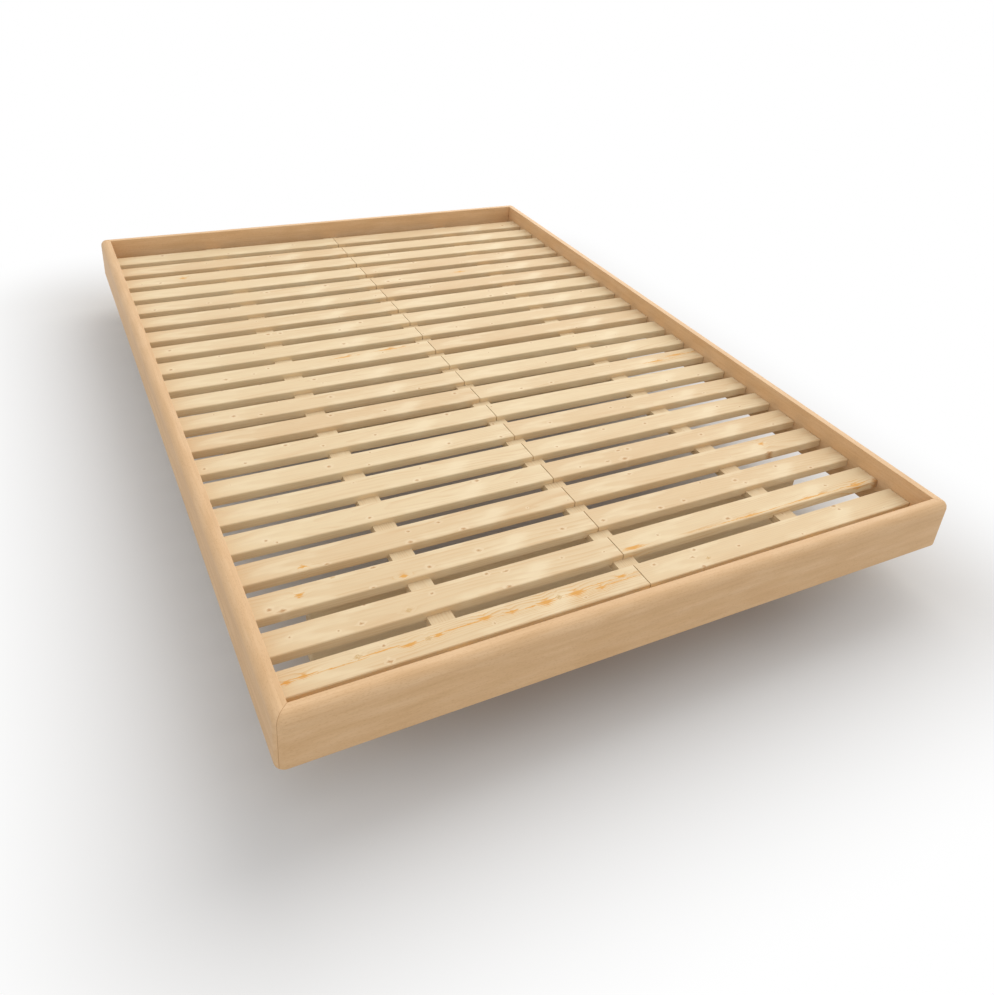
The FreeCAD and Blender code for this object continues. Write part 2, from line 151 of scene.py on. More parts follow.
SLAT_GRID = board_grid("slat_left_01", beside="slat_right_01", behind="slat_left_02")
print("slats repeat every %.1f mm along the bed" % (SLAT_GRID[1].y / MM))

# %% [markdown]
# ## Growth rings
#
# Growth rings are cylinders round the log's pith. A board is a slice beside that pith, so
# distance from a line that runs lengthwise, a little askew, gives straight lines where the
# board was cut far from the pith and long arches where it was cut near it. The same distance
# also gives curved rings on the boards' ends, because the pattern is solid. A slow noise
# makes the tree grow unevenly, and knots push the rings aside, as branches do. One ring
# starts with pale early wood, darkens slowly and ends in a sharp edge of late wood.

# %% The rings of a log
RING_PROFILE = ((0.0, 0.0), (0.45, 0.12), (0.84, 0.85), (0.93, 1.0), (1.0, 0.0))
NEAREST_PITH = -0.1
WANDER_LENGTH = 380
WANDER_WIDTH = 60
WANDER = (0, 26, 26)
RANDOM_SHIFT = (90, 90, 90)
ACROSS_GRAIN = (0, 1, 1)


def growth_rings(tree, place, numbers, ring_width, reach, askew, push=None):
    """Late wood from 0 to 1. reach is how far the pith may lie from the board, in mm."""
    spread = add(tree, "ShaderNodeMapRange",
                 {"Vector": numbers.outputs["Color"], 9: (-askew, -reach, -reach),
                  10: (askew, reach, NEAREST_PITH * reach)}, data_type="FLOAT_VECTOR")
    parts = add(tree, "ShaderNodeSeparateXYZ", {0: spread})
    along = add(tree, "ShaderNodeSeparateXYZ", {0: place})
    lean = add(tree, "ShaderNodeMath", {0: along, 1: parts}, operation="MULTIPLY")
    drift = add(tree, "ShaderNodeCombineXYZ", {"Y": lean, "Z": lean})
    pith = add(tree, "ShaderNodeVectorMath", {0: spread, 1: drift}, operation="ADD")
    slow = add(tree, "ShaderNodeVectorMath",
               {0: place, 1: (1 / WANDER_LENGTH, 1 / WANDER_WIDTH, 1 / WANDER_WIDTH)},
               operation="MULTIPLY")
    own = add(tree, "ShaderNodeVectorMath",
              {0: numbers.outputs["Color"], 1: RANDOM_SHIFT, 2: slow},
              operation="MULTIPLY_ADD")
    uneven = add(tree, "ShaderNodeTexNoise", {"Vector": own, "Scale": 1, "Detail": 2})
    bent = add(tree, "ShaderNodeVectorMath",
               {0: uneven.outputs["Color"], 1: WANDER, 2: place}, operation="MULTIPLY_ADD")
    from_pith = add(tree, "ShaderNodeVectorMath", {0: bent, 1: pith}, operation="SUBTRACT")
    flat = add(tree, "ShaderNodeVectorMath", {0: from_pith, 1: ACROSS_GRAIN},
               operation="MULTIPLY")
    radius = add(tree, "ShaderNodeVectorMath", {0: flat}, operation="LENGTH")
    if push is not None:
        radius = add(tree, "ShaderNodeMath", {0: radius, 1: push}, operation="ADD")
    rings = add(tree, "ShaderNodeMath", {0: radius, 1: ring_width}, operation="DIVIDE")
    phase = add(tree, "ShaderNodeMath", {0: rings}, operation="FRACT")
    return add(tree, "ShaderNodeValToRGB", {0: phase}, stops=RING_PROFILE)


print("rings wander %d mm within about %d mm of board" % (WANDER[1], WANDER_LENGTH))

# %% [markdown]
# Fibres are what is left of the pattern between the rings: a noise drawn out along the
# grain. The same call, with other lengths and widths, also gives the broad patches in which
# a board is a little paler or darker. Each wood starts from an empty material.


# %% Fibres and an empty material
def fibres(tree, place, length, width, detail=3):
    """Fine lines along the grain, from 0 to 1, as long and wide as given in mm."""
    fine = add(tree, "ShaderNodeVectorMath",
               {0: place, 1: (1 / length, 1 / width, 1 / width)}, operation="MULTIPLY")
    return add(tree, "ShaderNodeTexNoise", {"Vector": fine, "Scale": 1, "Detail": detail})


def new_material(name):
    """An empty material and its shader, with the surface linked to the output."""
    material = bpy.data.materials.new(name)
    material.use_nodes = True
    tree = material.node_tree
    return material, tree, tree.nodes["Principled BSDF"]


print("a fibre and a material are one call each")

# %% [markdown]
# ## Planed beech for the rim
#
# The rails are solid beech, planed, sanded and left bare or thinly oiled. Beech is a calm
# pinkish tan. Its rings are faint, and what tells it from other woods is the mass of short
# brown flecks along the grain, the medullary rays. Real flecks are 1 to 3 mm long and half a
# millimetre wide, too fine to show at this distance, so they are drawn about four times as
# long. The grain turns with the rail, which makes the mitres show as they do on real work,
# and the butted joint itself is a hairline of darker glue.

# %% Beech along X for the foot and head rails, along Y for the side rails
RING_BEECH = 6.5
BEECH_TONES = ((0.32, "#D5AE7F"), (0.5, "#DAB486"), (0.68, "#DFBB8F"))
BEECH_LATE_WOOD = "#B98A5A"
RING_STRENGTH = 0.1
FLECK_COLOUR = "#B28455"
FLECK_STRENGTH = 0.4
FLECK_LENGTH = 9.0
FLECK_WIDTH = 1.4
GLUE_LINE = "#B08458"
SEAM_HALF = 0.6 * MM
MITRE_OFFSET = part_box("right_rail")[0].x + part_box("foot_rail")[1].y
RAIL_GRIDS = {"X": board_grid("foot_rail", behind="head_rail"),
              "Y": board_grid("left_rail", beside="right_rail")}


def mitre_seam(tree):
    """1 on the mitres' planes, which cross the rim's corners at 45 degrees, else 0."""
    spot = add(tree, "ShaderNodeTexCoord").outputs["Object"]
    folded = add(tree, "ShaderNodeVectorMath", {0: spot}, operation="ABSOLUTE")
    sides = add(tree, "ShaderNodeSeparateXYZ", {0: folded})
    across = add(tree, "ShaderNodeMath", {0: sides.outputs["X"], 1: sides.outputs["Y"]},
                 operation="SUBTRACT")
    return add(tree, "ShaderNodeMath", {0: across, 1: MITRE_OFFSET, 2: SEAM_HALF},
               operation="COMPARE")


def planed_beech(grain_axis):
    """Beech: an even satin tan with faint rings, ray flecks and a hairline at the mitres."""
    material, tree, shader = new_material("planed_beech_along_" + grain_axis.lower())
    numbers, place = on_board(tree, RAIL_GRIDS[grain_axis], grain_axis)
    rings = growth_rings(tree, place, numbers, RING_BEECH, reach=150, askew=0.03)
    mottle = fibres(tree, place, length=120, width=20, detail=4)
    colour = add(tree, "ShaderNodeValToRGB", {0: mottle}, stops=BEECH_TONES)
    strength = add(tree, "ShaderNodeMath", {0: rings, 1: RING_STRENGTH},
                   operation="MULTIPLY")
    colour = add(tree, "ShaderNodeMix",
                 {"Factor": strength, "A": colour, "B": BEECH_LATE_WOOD}, data_type="RGBA")
    lines = fibres(tree, place, length=120, width=1.6)
    toned = add(tree, "ShaderNodeValToRGB", {0: lines}, stops=((0.3, 0.94), (0.7, 1.0)))
    colour = add(tree, "ShaderNodeMix", {"Factor": 1.0, "A": colour, "B": toned},
                 data_type="RGBA", blend_type="MULTIPLY")
    fleck_place = add(tree, "ShaderNodeVectorMath",
                      {0: place, 1: (1 / FLECK_LENGTH, 1 / FLECK_WIDTH, 1 / FLECK_WIDTH)},
                      operation="MULTIPLY")
    cells = add(tree, "ShaderNodeTexVoronoi", {"Vector": fleck_place, "Scale": 1.0})
    flecks = add(tree, "ShaderNodeValToRGB", {0: cells},
                 stops=((0.12, FLECK_STRENGTH), (0.34, 0.0)))
    colour = add(tree, "ShaderNodeMix", {"Factor": flecks, "A": colour, "B": FLECK_COLOUR},
                 data_type="RGBA")
    colour = add(tree, "ShaderNodeMix",
                 {"Factor": mitre_seam(tree), "A": colour, "B": GLUE_LINE}, data_type="RGBA")
    tree.links.new(colour.outputs[2], shader.inputs["Base Color"])
    polish = add(tree, "ShaderNodeMapRange", {"Value": mottle, "To Min": 0.45, "To Max": 0.6})
    tree.links.new(polish.outputs[0], shader.inputs["Roughness"])
    relief = add(tree, "ShaderNodeBump",
                 {"Strength": 0.25, "Distance": 0.15 * MM, "Height": lines})
    tree.links.new(relief.outputs[0], shader.inputs["Normal"])
    shader.inputs["Specular IOR Level"].default_value = 0.3
    return material


def finish_nodes(names, material):
    """Give frame nodes their material."""
    for name in names:
        nodes[name].data.materials.clear()
        nodes[name].data.materials.append(material)


finish_nodes(("foot_rail", "head_rail"), planed_beech("X"))
finish_nodes(("left_rail", "right_rail"), planed_beech("Y"))
print("mitres at |x| - |y| = %.1f mm" % (MITRE_OFFSET / MM))

# %% [markdown]
# ## Planed pine for the slats
#
# The slats are planed spruce or pine: cream, with thin honey-coloured late wood, small brown
# knots every hand's breadth, and here and there orange resin. All slats share one recipe.
# Small knots come from a cell texture that puts about one in each palm-sized field. The few
# large, bright marks that catch the eye sit on certain slats, so those are written down as
# short lists in millimetres along and across the slat, and a slat with such a list gets its
# own copy of the material. Every knot also pushes the rings aside.

# %% The marks that stand out, slat by slat
# Each mark: mm from the bed's middle, mm across from the slat's middle, half length, half
# width, and what it is. An eye is a knot with a paler ring inside its rim.
MARKS = {
    "slat_left_01": (
        (-691, 0, 12, 3, "resin"), (-661, 3, 15, 4, "resin"), (-612, 1, 40, 1, "resin"),
        (-569, 8, 6, 5, "eye"), (-527, 6, 40, 1, "resin"), (-523, -22, 3, 3, "knot"),
        (-479, 1, 14, 4, "resin"), (-444, 2, 5, 4, "eye"), (-425, 3, 9, 4, "resin"),
        (-375, 6, 40, 1.2, "resin"), (-332, 9, 13, 5, "resin"), (-280, 5, 9, 4, "resin"),
        (-245, 3, 34, 1, "resin"), (-210, 3, 16, 7, "resin"), (-182, 6, 6, 5, "eye"),
        (-145, 3, 18, 7, "resin"), (-94, -2, 8, 4, "resin"), (-92, 9, 44, 1.2, "resin"),
        (-62, 0, 40, 1, "resin"), (-40, 10, 10, 3, "resin")),
    "slat_left_02": (
        (-537, -13, 3, 2, "knot"), (-450, -14, 5, 4, "eye"), (-659, 2, 2, 2, "knot"),
        (-240, 14, 3, 2, "knot")),
    "slat_left_03": (
        (-653, -24, 5, 3, "knot"), (-615, 3, 7, 5, "resin"), (-424, -21, 7, 4, "resin"),
        (-468, 24, 4, 2, "knot"), (-546, 27, 4, 3, "eye")),
    "slat_left_04": ((-588, -18, 6, 4, "resin"), (-300, 12, 3, 2, "knot")),
    "slat_left_12": ((-250, 10, 26, 3, "resin"), (-120, 16, 34, 3, "resin"),
                     (-560, -12, 4, 3, "knot")),
    "slat_left_19": ((-540, 4, 8, 6, "resin"),),
    "slat_right_01": ((126, 3, 3, 2, "knot"), (130, -27, 3, 3, "knot"),
                      (155, -10, 4, 3, "eye")),
    "slat_right_02": (
        (32, -20, 24, 4, "resin"), (101, -4, 2, 2, "knot"), (331, -24, 60, 2, "resin"),
        (573, 1, 3, 2, "knot"), (500, -22, 70, 2, "resin"), (645, -24, 24, 5, "resin"),
        (704, -29, 8, 6, "knot")),
    "slat_right_03": ((404, -16, 3, 2, "knot"), (518, 11, 3, 2, "knot")),
    "slat_right_04": ((551, 8, 7, 5, "resin"), (545, -29, 8, 3, "knot"),
                      (171, 17, 3, 2, "knot")),
    "slat_right_05": ((200, 14, 3, 2, "knot"), (196, -20, 5, 3, "knot"),
                      (153, -16, 3, 2, "knot")),
    "slat_right_09": ((640, 6, 40, 3, "resin"), (560, -8, 26, 3, "resin")),
    "slat_right_17": ((300, 0, 16, 4, "resin"),),
}
FIGURED = ("slat_left_01", "slat_right_02", "slat_right_09", "slat_left_12")
print("slats with marks of their own:", len(MARKS))

# %% [markdown]
# A mark is a diamond, pointed along the grain, whose edge a small noise breaks up. Its
# measure is 0 in the middle and 1 on the edge, so the smallest measure of all marks says how
# deep inside one a point is, and what tint it gets there is a matter of a colour ramp. Marks
# are placed from the bed's middle, so they read the plain coordinates, and not the board's
# own.

# %% From a list of marks to one measure
FAR = 9.0
EDGE_LENGTH = 11
EDGE_WIDTH = 2.5
EDGE_SHAKE = Vector((18, 5, 0))
DIAMOND = (0.8, 0.8, 0)


def marks_measure(tree, marks, row_middle):
    """How far a point is from the nearest of the marks: 1 at an edge, 0 in a middle."""
    spot = add(tree, "ShaderNodeTexCoord").outputs["Object"]
    from_row = add(tree, "ShaderNodeVectorMath",
                   {0: spot, 1: (1 / MM,) * 3, 2: (0, -row_middle / MM, 0)},
                   operation="MULTIPLY_ADD")
    rough = fibres(tree, from_row, EDGE_LENGTH, EDGE_WIDTH, detail=2)
    shaken = add(tree, "ShaderNodeVectorMath",
                 {0: rough.outputs["Color"], 1: EDGE_SHAKE, 2: from_row},
                 operation="MULTIPLY_ADD")
    nearest = FAR
    for along, across, half_length, half_width, _ in marks:
        middle = Vector((along, across, 0)) + EDGE_SHAKE / 2
        shifted = add(tree, "ShaderNodeVectorMath", {0: shaken, 1: middle},
                      operation="SUBTRACT")
        scaled = add(tree, "ShaderNodeVectorMath",
                     {0: shifted, 1: (1 / half_length, 1 / half_width, 0)},
                     operation="MULTIPLY")
        folded = add(tree, "ShaderNodeVectorMath", {0: scaled}, operation="ABSOLUTE")
        measure = add(tree, "ShaderNodeVectorMath", {0: folded, 1: DIAMOND},
                      operation="DOT_PRODUCT")
        nearest = add(tree, "ShaderNodeMath", {0: measure, 1: nearest}, operation="MINIMUM")
    return nearest


print("marks written down:", sum(len(marks) for marks in MARKS.values()))

# %% [markdown]
# The small knots could be listed as well, but nobody would notice where they are. A cell
# texture scatters one centre in each field of wood, and the distance to it, over the knot's
# own size, is the same measure as before. The texture is flat, because a solid one would
# draw the knots as long stripes down the slats' edges. So only faces that look straight up
# or down show these knots, and on all others the measure is put far away.

# %% Small knots
KNOT_FIELD = 82.0
KNOT_RADIUS = 3.3
SMALLEST_KNOT = 0.2
FIELD_STRETCH = 0.8
KNOT_EDGE_LENGTH = 7
KNOT_EDGE_WIDTH = 3
KNOT_SHAKE = (7, 5, 0)
OWN_FIELDS = (5000, 5000, 0)


def small_knots(tree, place, numbers):
    """The same measure for small knots on level faces, about one in each field."""
    own = add(tree, "ShaderNodeVectorMath",
              {0: numbers.outputs["Color"], 1: OWN_FIELDS, 2: place},
              operation="MULTIPLY_ADD")
    rough = fibres(tree, place, KNOT_EDGE_LENGTH, KNOT_EDGE_WIDTH, detail=2)
    uneven = add(tree, "ShaderNodeVectorMath",
                 {0: rough.outputs["Color"], 1: KNOT_SHAKE, 2: own}, operation="MULTIPLY_ADD")
    flat = add(tree, "ShaderNodeVectorMath",
               {0: uneven, 1: (FIELD_STRETCH / KNOT_FIELD, 1 / KNOT_FIELD, 0)},
               operation="MULTIPLY")
    cells = add(tree, "ShaderNodeTexVoronoi", {"Vector": flat, "Scale": 1.0},
                voronoi_dimensions="2D")
    size = add(tree, "ShaderNodeMapRange",
               {"Value": cells.outputs["Color"], "To Min": SMALLEST_KNOT, "To Max": 1.0})
    wide = add(tree, "ShaderNodeMath", {0: size, 1: KNOT_RADIUS / KNOT_FIELD},
               operation="MULTIPLY")
    measure = add(tree, "ShaderNodeMath", {0: cells, 1: wide}, operation="DIVIDE")
    facing = add(tree, "ShaderNodeTexCoord").outputs["Normal"]
    upright = add(tree, "ShaderNodeSeparateXYZ", {0: facing}).outputs["Z"]
    level = add(tree, "ShaderNodeMath", {0: upright}, operation="ABSOLUTE")
    hidden = add(tree, "ShaderNodeMath", {0: level, 1: -FAR, 2: FAR},
                 operation="MULTIPLY_ADD")
    return add(tree, "ShaderNodeMath", {0: measure, 1: hidden}, operation="ADD")


def mark_layers(tree, place, numbers, marks, row_middle):
    """One measure for each kind of mark on this wood, and one for the nearest of any kind."""
    layers = {"knot": small_knots(tree, place, numbers)}
    for kind in ("knot", "eye", "resin"):
        chosen = [mark for mark in marks if mark[-1] == kind]
        if chosen:
            measure = marks_measure(tree, chosen, row_middle)
            layers[kind] = add(tree, "ShaderNodeMath", {0: layers.get(kind, FAR), 1: measure},
                               operation="MINIMUM")
    nearest = FAR
    for measure in layers.values():
        nearest = add(tree, "ShaderNodeMath", {0: nearest, 1: measure}, operation="MINIMUM")
    return layers, nearest


print("small knots %.1f mm in radius at most, one in %.0f mm" % (KNOT_RADIUS, KNOT_FIELD))

# %% [markdown]
# Clear wood, between the marks: a cream that differs a little from slat to slat and from
# patch to patch, with darker late wood that is plain in some places and all but gone in
# others, as where a plane meets the rings at another slant. Resin soaks along the late wood,
# so round a resin mark the ring lines turn orange and stronger.

# %% Pine without its marks
PINE_LATE_WOOD = "#C5965C"
RESIN_LINE = "#D39A48"
RESIN_LINE_STRENGTH = 0.85
RESIN_REACH = 5.0
PALE_WOOD = "#E9D8B4"
PATCH_SWAY = 1.1


def clear_pine(tree, place, numbers, rings, resin, figure, shade):
    """The colour of pine between its marks, and the fibres that also roughen it."""
    patches = fibres(tree, place, length=110, width=34, detail=2)
    warmth = add(tree, "ShaderNodeMath",
                 {0: patches, 1: PATCH_SWAY, 2: numbers.outputs["Value"]},
                 operation="MULTIPLY_ADD")
    blend = add(tree, "ShaderNodeMapRange", {"Value": warmth, "From Min": 0.3, "From Max": 1.4})
    colour = add(tree, "ShaderNodeMix", {"Factor": blend, "A": shade[0], "B": shade[1]},
                 data_type="RGBA")
    ring_tint, ring_amount = PINE_LATE_WOOD, figure
    if resin is not None:
        glow = add(tree, "ShaderNodeMapRange",
                   {"Value": resin, "From Min": 1.0, "From Max": RESIN_REACH,
                    "To Min": 1.0, "To Max": 0.0})
        ring_tint = add(tree, "ShaderNodeMix",
                        {"Factor": glow, "A": PINE_LATE_WOOD, "B": RESIN_LINE},
                        data_type="RGBA")
        ring_amount = add(tree, "ShaderNodeMapRange",
                          {"Value": glow, "To Min": figure, "To Max": RESIN_LINE_STRENGTH})
    waxing = fibres(tree, place, length=240, width=26, detail=2)
    clear = add(tree, "ShaderNodeMapRange",
                {"Value": waxing, "From Min": 0.36, "From Max": 0.66, "To Min": 0.15,
                 "To Max": 1.25})
    strength = add(tree, "ShaderNodeMath", {0: rings, 1: ring_amount}, operation="MULTIPLY")
    strength = add(tree, "ShaderNodeMath", {0: strength, 1: clear}, operation="MULTIPLY")
    colour = add(tree, "ShaderNodeMix", {"Factor": strength, "A": colour, "B": ring_tint},
                 data_type="RGBA")
    lines = fibres(tree, place, length=90, width=1.5)
    toned = add(tree, "ShaderNodeValToRGB", {0: lines}, stops=((0.3, 0.95), (0.68, 1.0)))
    colour = add(tree, "ShaderNodeMix", {"Factor": 1.0, "A": colour, "B": toned},
                 data_type="RGBA", blend_type="MULTIPLY")
    pale = add(tree, "ShaderNodeValToRGB", {0: patches}, stops=((0.55, 0.0), (0.72, 0.5)))
    colour = add(tree, "ShaderNodeMix", {"Factor": pale, "A": colour, "B": PALE_WOOD},
                 data_type="RGBA")
    return colour, lines


print("ring lines take resin's colour up to %.0f sizes from a mark" % RESIN_REACH)

# %% [markdown]
# The marks go on top of the clear wood, one tint after another. A knot has a faint pale
# border, where the wood bends round it, and a brown heart. Each tint comes with stops: how
# strong it is at which measure. A colour ramp only reads from 0 to 1 and the measures run
# past 1, so they are scaled down to a quarter first. Resin sits in the late wood before it
# fills the wood between, which gives its marks their pointed tails.

# %% The marks' tints
TINTS = (("knot", "#EDDCBC", ((1.2, 0.0), (2.0, 0.3), (3.8, 0.0))),
         ("knot", "#A9723A", ((0.4, 0.7), (0.9, 0.4), (1.6, 0.0))),
         ("eye", "#B98C42", ((0.25, 0.75), (0.5, 0.1), (0.8, 0.65), (1.2, 0.0))),
         ("resin", "#D6993F", ((0.6, 0.92), (1.0, 0.75), (1.4, 0.0))))
RESIN_IN_LATE_WOOD = 0.9
MEASURE_SCALE = 0.25


def with_marks(tree, colour, rings, layers):
    """Lay the tints of knots, eyes and resin over the wood."""
    for kind, tint, stops in TINTS:
        if kind not in layers:
            continue
        measure = layers[kind]
        if kind == "resin":
            raised = add(tree, "ShaderNodeMath", {0: measure, 1: 0.5 * RESIN_IN_LATE_WOOD},
                         operation="ADD")
            measure = add(tree, "ShaderNodeMath", {0: rings, 1: -RESIN_IN_LATE_WOOD, 2: raised},
                          operation="MULTIPLY_ADD")
        small = add(tree, "ShaderNodeMath", {0: measure, 1: MEASURE_SCALE},
                    operation="MULTIPLY")
        amount = add(tree, "ShaderNodeValToRGB", {0: small},
                     stops=[(at * MEASURE_SCALE, level) for at, level in stops])
        colour = add(tree, "ShaderNodeMix", {"Factor": amount, "A": colour, "B": tint},
                     data_type="RGBA")
    return colour


print("tints:", [kind for kind, _, _ in TINTS])

# %% [markdown]
# The whole recipe joins these parts. Late wood is harder and takes a little more polish than
# the soft early wood, so the roughness follows the rings, and the fibres also give a trace
# of relief. Four slats are cut closer to the pith and show a stronger figure.

# %% Planed pine on the slats
RING_PINE = 4.6
KNOT_REACH = 4.5
KNOT_PUSH = 6.0
PLAIN_FIGURE = 0.3
STRONG_FIGURE = 0.36
SLAT_SHADE = ("#D7BA90", "#E0CAA2")


def planed_pine(name, grid, grain_axis="X", marks=(), row_middle=0.0, figure=PLAIN_FIGURE,
                shade=SLAT_SHADE):
    """Pine: cream with honey rings, small brown knots and orange resin, barely glossy."""
    material, tree, shader = new_material(name)
    numbers, place = on_board(tree, grid, grain_axis)
    layers, nearest = mark_layers(tree, place, numbers, marks, row_middle)
    push = add(tree, "ShaderNodeMapRange",
               {"Value": nearest, "From Min": 0.0, "From Max": KNOT_REACH,
                "To Min": KNOT_PUSH, "To Max": 0.0}, interpolation_type="SMOOTHERSTEP")
    rings = growth_rings(tree, place, numbers, RING_PINE, reach=75, askew=0.05, push=push)
    colour, lines = clear_pine(tree, place, numbers, rings, layers.get("resin"), figure, shade)
    colour = with_marks(tree, colour, rings, layers)
    tree.links.new(colour.outputs[2], shader.inputs["Base Color"])
    polish = add(tree, "ShaderNodeMapRange", {"Value": rings, "To Min": 0.65, "To Max": 0.5})
    tree.links.new(polish.outputs[0], shader.inputs["Roughness"])
    relief = add(tree, "ShaderNodeBump",
                 {"Strength": 0.3, "Distance": 0.2 * MM, "Height": lines})
    tree.links.new(relief.outputs[0], shader.inputs["Normal"])
    shader.inputs["Specular IOR Level"].default_value = 0.25
    return material


slats = sorted(name for name in nodes if name.startswith("slat_"))
finish_nodes(slats, planed_pine("planed_pine_slat", SLAT_GRID))
for name, marks in MARKS.items():
    low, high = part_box(name)
    figure = STRONG_FIGURE if name in FIGURED else PLAIN_FIGURE
    finish_nodes([name], planed_pine("planed_pine_" + name, SLAT_GRID, marks=marks,
                                     row_middle=(low.y + high.y) / 2, figure=figure))
print("slats finished:", len(slats))

# %% [markdown]
# ## The same pine underneath
#
# The bearers, the base boards and the corner blocks carry the bed. They are the same pine,
# and only a touch less warm than the slats. The same recipe serves, without marks of its
# own, with another grid to tell the boards apart, and with the grain turned for the bearers,
# which run the length of the bed.

# %% Bearers, base boards and corner blocks
FRAME_SHADE = ("#D9C098", "#E1CAA2")
UNDER_GRIDS = {
    "bearer": ("Y", board_grid("left_bearer", beside="centre_bearer")),
    "base_board": ("X", board_grid("foot_base_board", behind="centre_base_board")),
    "corner_block": ("X", board_grid("corner_block_foot_left",
                                     beside="corner_block_foot_right",
                                     behind="corner_block_head_left")),
}
for part, (axis, grid) in UNDER_GRIDS.items():
    names = [name for name in nodes if part in name and name != "bearer_hangers"]
    finish_nodes(names, planed_pine("sawn_pine_" + part, grid, axis, shade=FRAME_SHADE))
    print(part, len(names))

# %% [markdown]
# ## Birch plywood for the loose tongues
#
# A loose tongue sits in a slot across each mitre and keeps the two rails flush. It is birch
# plywood, cream layers with darker glue lines, 1.4 mm each. It is buried in the rim, and its
# layers show only if the corner is taken apart.

# %% Birch plywood
PLY_THICKNESS = 1.4 * MM


def birch_plywood():
    """Birch plywood: pale layers with thin brown glue lines between them."""
    material, tree, shader = new_material("birch_plywood")
    spot = add(tree, "ShaderNodeTexCoord").outputs["Object"]
    sides = add(tree, "ShaderNodeSeparateXYZ", {0: spot})
    count = add(tree, "ShaderNodeMath", {0: sides.outputs["Z"], 1: PLY_THICKNESS},
                operation="DIVIDE")
    phase = add(tree, "ShaderNodeMath", {0: count}, operation="FRACT")
    layers = add(tree, "ShaderNodeValToRGB", {0: phase},
                 stops=((0.0, "#9C7346"), (0.14, "#E6CDA3"), (0.9, "#DFC293")))
    tree.links.new(layers.outputs[0], shader.inputs["Base Color"])
    shader.inputs["Roughness"].default_value = 0.6
    return material


finish_nodes(["mitre_tongues"], birch_plywood())
print("layers of %.1f mm" % (PLY_THICKNESS / MM))

# %% [markdown]
# ## Zinc-plated steel for the fittings
#
# The bearer hangers and the base brackets are pressed from 2 mm sheet, and the bolts are
# forged. All are zinc plated, a cool grey metal with a soft, slightly cloudy reflection. The
# cloudiness is mostly in the roughness, with only a faint change of grey, because plating
# varies more in gloss than in colour.

# %% Zinc-plated sheet and zinc-plated bolts


def zinc_plated(name, colour, smoothest, roughest, cloud):
    """Zinc-plated steel: pale grey metal with a soft reflection that clouds over in spots."""
    material, tree, shader = new_material(name)
    spot = add(tree, "ShaderNodeTexCoord").outputs["Object"]
    clouds = add(tree, "ShaderNodeTexNoise", {"Vector": spot, "Scale": 1 / cloud,
                                              "Detail": 4})
    polish = add(tree, "ShaderNodeMapRange",
                 {"Value": clouds, "From Min": 0.3, "From Max": 0.7, "To Min": smoothest,
                  "To Max": roughest})
    tree.links.new(polish.outputs[0], shader.inputs["Roughness"])
    shade = add(tree, "ShaderNodeValToRGB", {0: clouds},
                stops=((0.3, colour), (0.7, "#C9CCCD")))
    tree.links.new(shade.outputs[0], shader.inputs["Base Color"])
    shader.inputs["Metallic"].default_value = 1.0
    return material


zinc_sheet = zinc_plated("zinc_plated_sheet", "#BFC3C6", 0.28, 0.45, 14 * MM)
zinc_bolt = zinc_plated("zinc_plated_bolt", "#B4B7B8", 0.22, 0.36, 5 * MM)
finish_nodes(("bearer_hangers", "base_brackets"), zinc_sheet)
finish_nodes(["corner_bolts"], zinc_bolt)
print("steel fittings finished")

# %% [markdown]
# ## Screws
#
# Screws hold the hangers to the end rails, the brackets to the boards and bearers, and every
# slat to the bearers from below. There are over a hundred, all alike within a kind, so one
# geometry tree makes a screw from its sizes and puts it on a cloud of points, each point
# with the direction its head faces. The alternative, one mesh per screw, would be slower to
# change. The recess is cut out of the head once, before the copying.

# %% The tree that makes screws on points
SIZES = ("Head Width", "Head Top Width", "Head Height", "Shank Width", "Shank Length",
         "Recess Width", "Recess Depth")
SCREW_SIDES = 12
SCREW_TIP = 0.4 * MM
RECESS_ARM = 0.28
SHANK_BELOW_HEAD = -0.98
TWIST_SEED = 7


